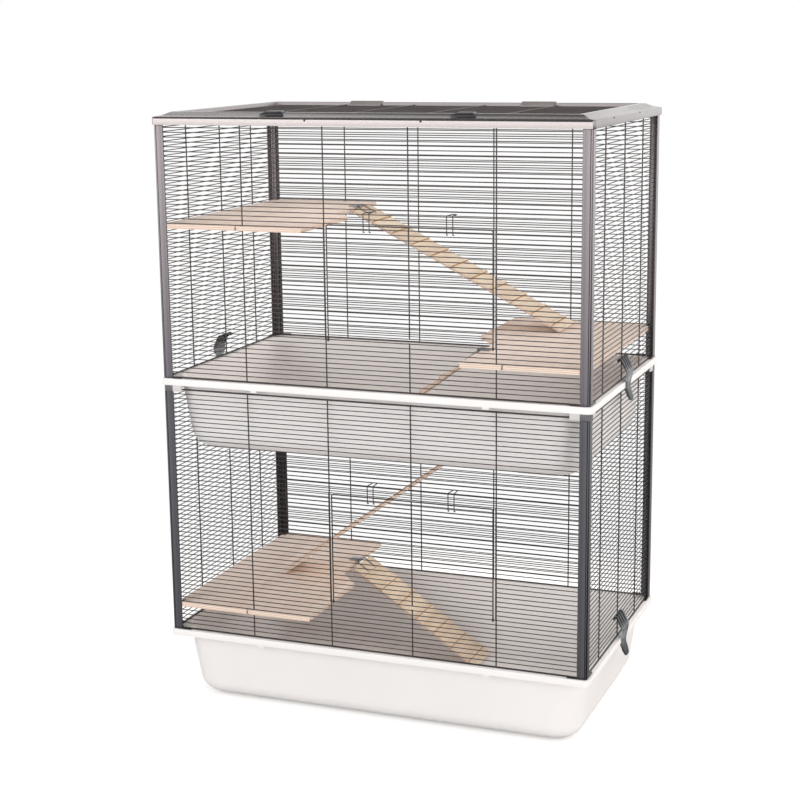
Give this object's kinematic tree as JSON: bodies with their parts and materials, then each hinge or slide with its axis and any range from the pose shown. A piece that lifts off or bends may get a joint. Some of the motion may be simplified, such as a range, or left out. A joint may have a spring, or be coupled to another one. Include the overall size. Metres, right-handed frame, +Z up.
{
  "type": "two-storey small animal cage",
  "caption": "Two-storey wire cage for rats or ferrets: moulded trays, grooved posts, wire panels with hooked drop-down doors, hinged roof lid, notched wooden shelves and hinged slatted ramps.",
  "frame": {"origin": "on the ground under the middle of the rim outline", "axes": "+X to the right seen from the front, -Y to the front (door side), +Z up"},
  "size_m": [0.8002, 0.47, 1.0623],
  "materials": {
    "tray_plastic": "smooth moulded white plastic, semi-gloss",
    "post_plastic": "moulded anthracite plastic, semi-gloss",
    "frame_plastic": "moulded grey plastic, semi-gloss",
    "clip_plastic": "moulded mid-grey plastic",
    "wire": "dark coated steel wire",
    "wood": "pale plywood, unvarnished",
    "steel": "zinc-plated steel"
  },
  "bodies": {
    "cage": {"lower_tray": "tray_plastic", "upper_tray": "tray_plastic", "lower_post_fl": "post_plastic", "upper_post_fl": "post_plastic", "lower_cap_fl": "post_plastic", "lower_post_fr": "post_plastic", "upper_post_fr": "post_plastic", "lower_cap_fr": "post_plastic", "lower_post_bl": "post_plastic", "upper_post_bl": "post_plastic", "lower_cap_bl": "post_plastic", "lower_post_br": "post_plastic", "upper_post_br": "post_plastic", "lower_cap_br": "post_plastic", "lower_front_panel": "wire", "lower_back_panel": "wire", "lower_left_panel": "wire", "lower_right_panel": "wire", "upper_front_panel": "wire", "upper_back_panel": "wire", "upper_left_panel": "wire", "upper_right_panel": "wire", "top_frame": "frame_plastic", "roof_hinge_l": "post_plastic", "roof_hinge_r": "post_plastic", "shelf_low": "wood", "shelf_mid": "wood", "shelf_high": "wood", "ramp_high_strap": "steel", "ramp_mid_strap": "steel", "ramp_hatch_strap": "steel", "ramp_low_strap": "steel"},
    "lower_door": {"lower_door": "wire"},
    "lower_door_hook_l": {"lower_door_hook_l": "wire"},
    "lower_door_hook_r": {"lower_door_hook_r": "wire"},
    "lower_clip_l": {"lower_clip_l": "clip_plastic"},
    "lower_clip_r": {"lower_clip_r": "clip_plastic"},
    "upper_door": {"upper_door": "wire"},
    "upper_door_hook_l": {"upper_door_hook_l": "wire"},
    "upper_door_hook_r": {"upper_door_hook_r": "wire"},
    "upper_clip_l": {"upper_clip_l": "clip_plastic"},
    "upper_clip_r": {"upper_clip_r": "clip_plastic"},
    "roof_lid": {"roof_lid": "wire"},
    "roof_latch_l": {"roof_latch_l": "post_plastic"},
    "roof_latch_r": {"roof_latch_r": "post_plastic"},
    "ramp_high": {"ramp_high": "wood", "ramp_high_staple": "steel"},
    "ramp_mid": {"ramp_mid": "wood", "ramp_mid_staple": "steel"},
    "ramp_hatch": {"ramp_hatch": "wood", "ramp_hatch_staple": "steel"},
    "ramp_low": {"ramp_low": "wood", "ramp_low_staple": "steel"}
  },
  "joints": [
    {"name": "lower_door_hinge", "type": "hinge", "parent": "cage", "child": "lower_door", "pos_m": [0.0755, -0.2266, 0.21905], "axis": [1, 0, 0], "range_deg": [0, 160]},
    {"name": "lower_door_hook_l_lift", "type": "slide", "parent": "lower_door", "child": "lower_door_hook_l", "axis": [0, 0, 1], "range_m": [0, 0.002]},
    {"name": "lower_door_hook_r_lift", "type": "slide", "parent": "lower_door", "child": "lower_door_hook_r", "axis": [0, 0, 1], "range_m": [0, 0.002]},
    {"name": "upper_door_hinge", "type": "hinge", "parent": "cage", "child": "upper_door", "pos_m": [0.0755, -0.2266, 0.68305], "axis": [1, 0, 0], "range_deg": [0, 160]},
    {"name": "upper_door_hook_l_lift", "type": "slide", "parent": "upper_door", "child": "upper_door_hook_l", "axis": [0, 0, 1], "range_m": [0, 0.002]},
    {"name": "upper_door_hook_r_lift", "type": "slide", "parent": "upper_door", "child": "upper_door_hook_r", "axis": [0, 0, 1], "range_m": [0, 0.002]},
    {"name": "lower_clip_l_hinge", "type": "hinge", "parent": "cage", "child": "lower_clip_l", "pos_m": [-0.3816, 0, 0.17006], "axis": [0, 1, 0], "range_deg": [0, 35]},
    {"name": "lower_clip_r_hinge", "type": "hinge", "parent": "cage", "child": "lower_clip_r", "pos_m": [0.3816, 0, 0.17006], "axis": [0, -1, 0], "range_deg": [0, 35]},
    {"name": "upper_clip_l_hinge", "type": "hinge", "parent": "cage", "child": "upper_clip_l", "pos_m": [-0.3816, 0, 0.63406], "axis": [0, 1, 0], "range_deg": [0, 35]},
    {"name": "upper_clip_r_hinge", "type": "hinge", "parent": "cage", "child": "upper_clip_r", "pos_m": [0.3816, 0, 0.63406], "axis": [0, -1, 0], "range_deg": [0, 35]},
    {"name": "roof_lid_hinge", "type": "hinge", "parent": "cage", "child": "roof_lid", "pos_m": [0, 0.1938, 1.053], "axis": [-1, 0, 0], "range_deg": [0, 100]},
    {"name": "roof_latch_l_hinge", "type": "hinge", "parent": "roof_lid", "child": "roof_latch_l", "pos_m": [-0.169, -0.1938, 1.053], "axis": [-1, 0, 0], "range_deg": [0, 80]},
    {"name": "roof_latch_r_hinge", "type": "hinge", "parent": "roof_lid", "child": "roof_latch_r", "pos_m": [0.169, -0.1938, 1.053], "axis": [-1, 0, 0], "range_deg": [0, 80]},
    {"name": "ramp_high_hinge", "type": "hinge", "parent": "cage", "child": "ramp_high", "pos_m": [-0.1596, 0.138, 0.8705], "axis": [0, -1, 0], "range_deg": [0, 45]},
    {"name": "ramp_mid_hinge", "type": "hinge", "parent": "cage", "child": "ramp_mid", "pos_m": [0.1596, -0.107, 0.65821], "axis": [0, 1, 0], "range_deg": [0, 85]},
    {"name": "ramp_hatch_hinge", "type": "hinge", "parent": "cage", "child": "ramp_hatch", "pos_m": [0.1146, 0.024, 0.4705], "axis": [0, -1, 0], "range_deg": [-28, 0]},
    {"name": "ramp_low_hinge", "type": "hinge", "parent": "cage", "child": "ramp_low", "pos_m": [-0.1596, 0.11, 0.18604], "axis": [0, -1, 0], "range_deg": [0, 85]}
  ]
}
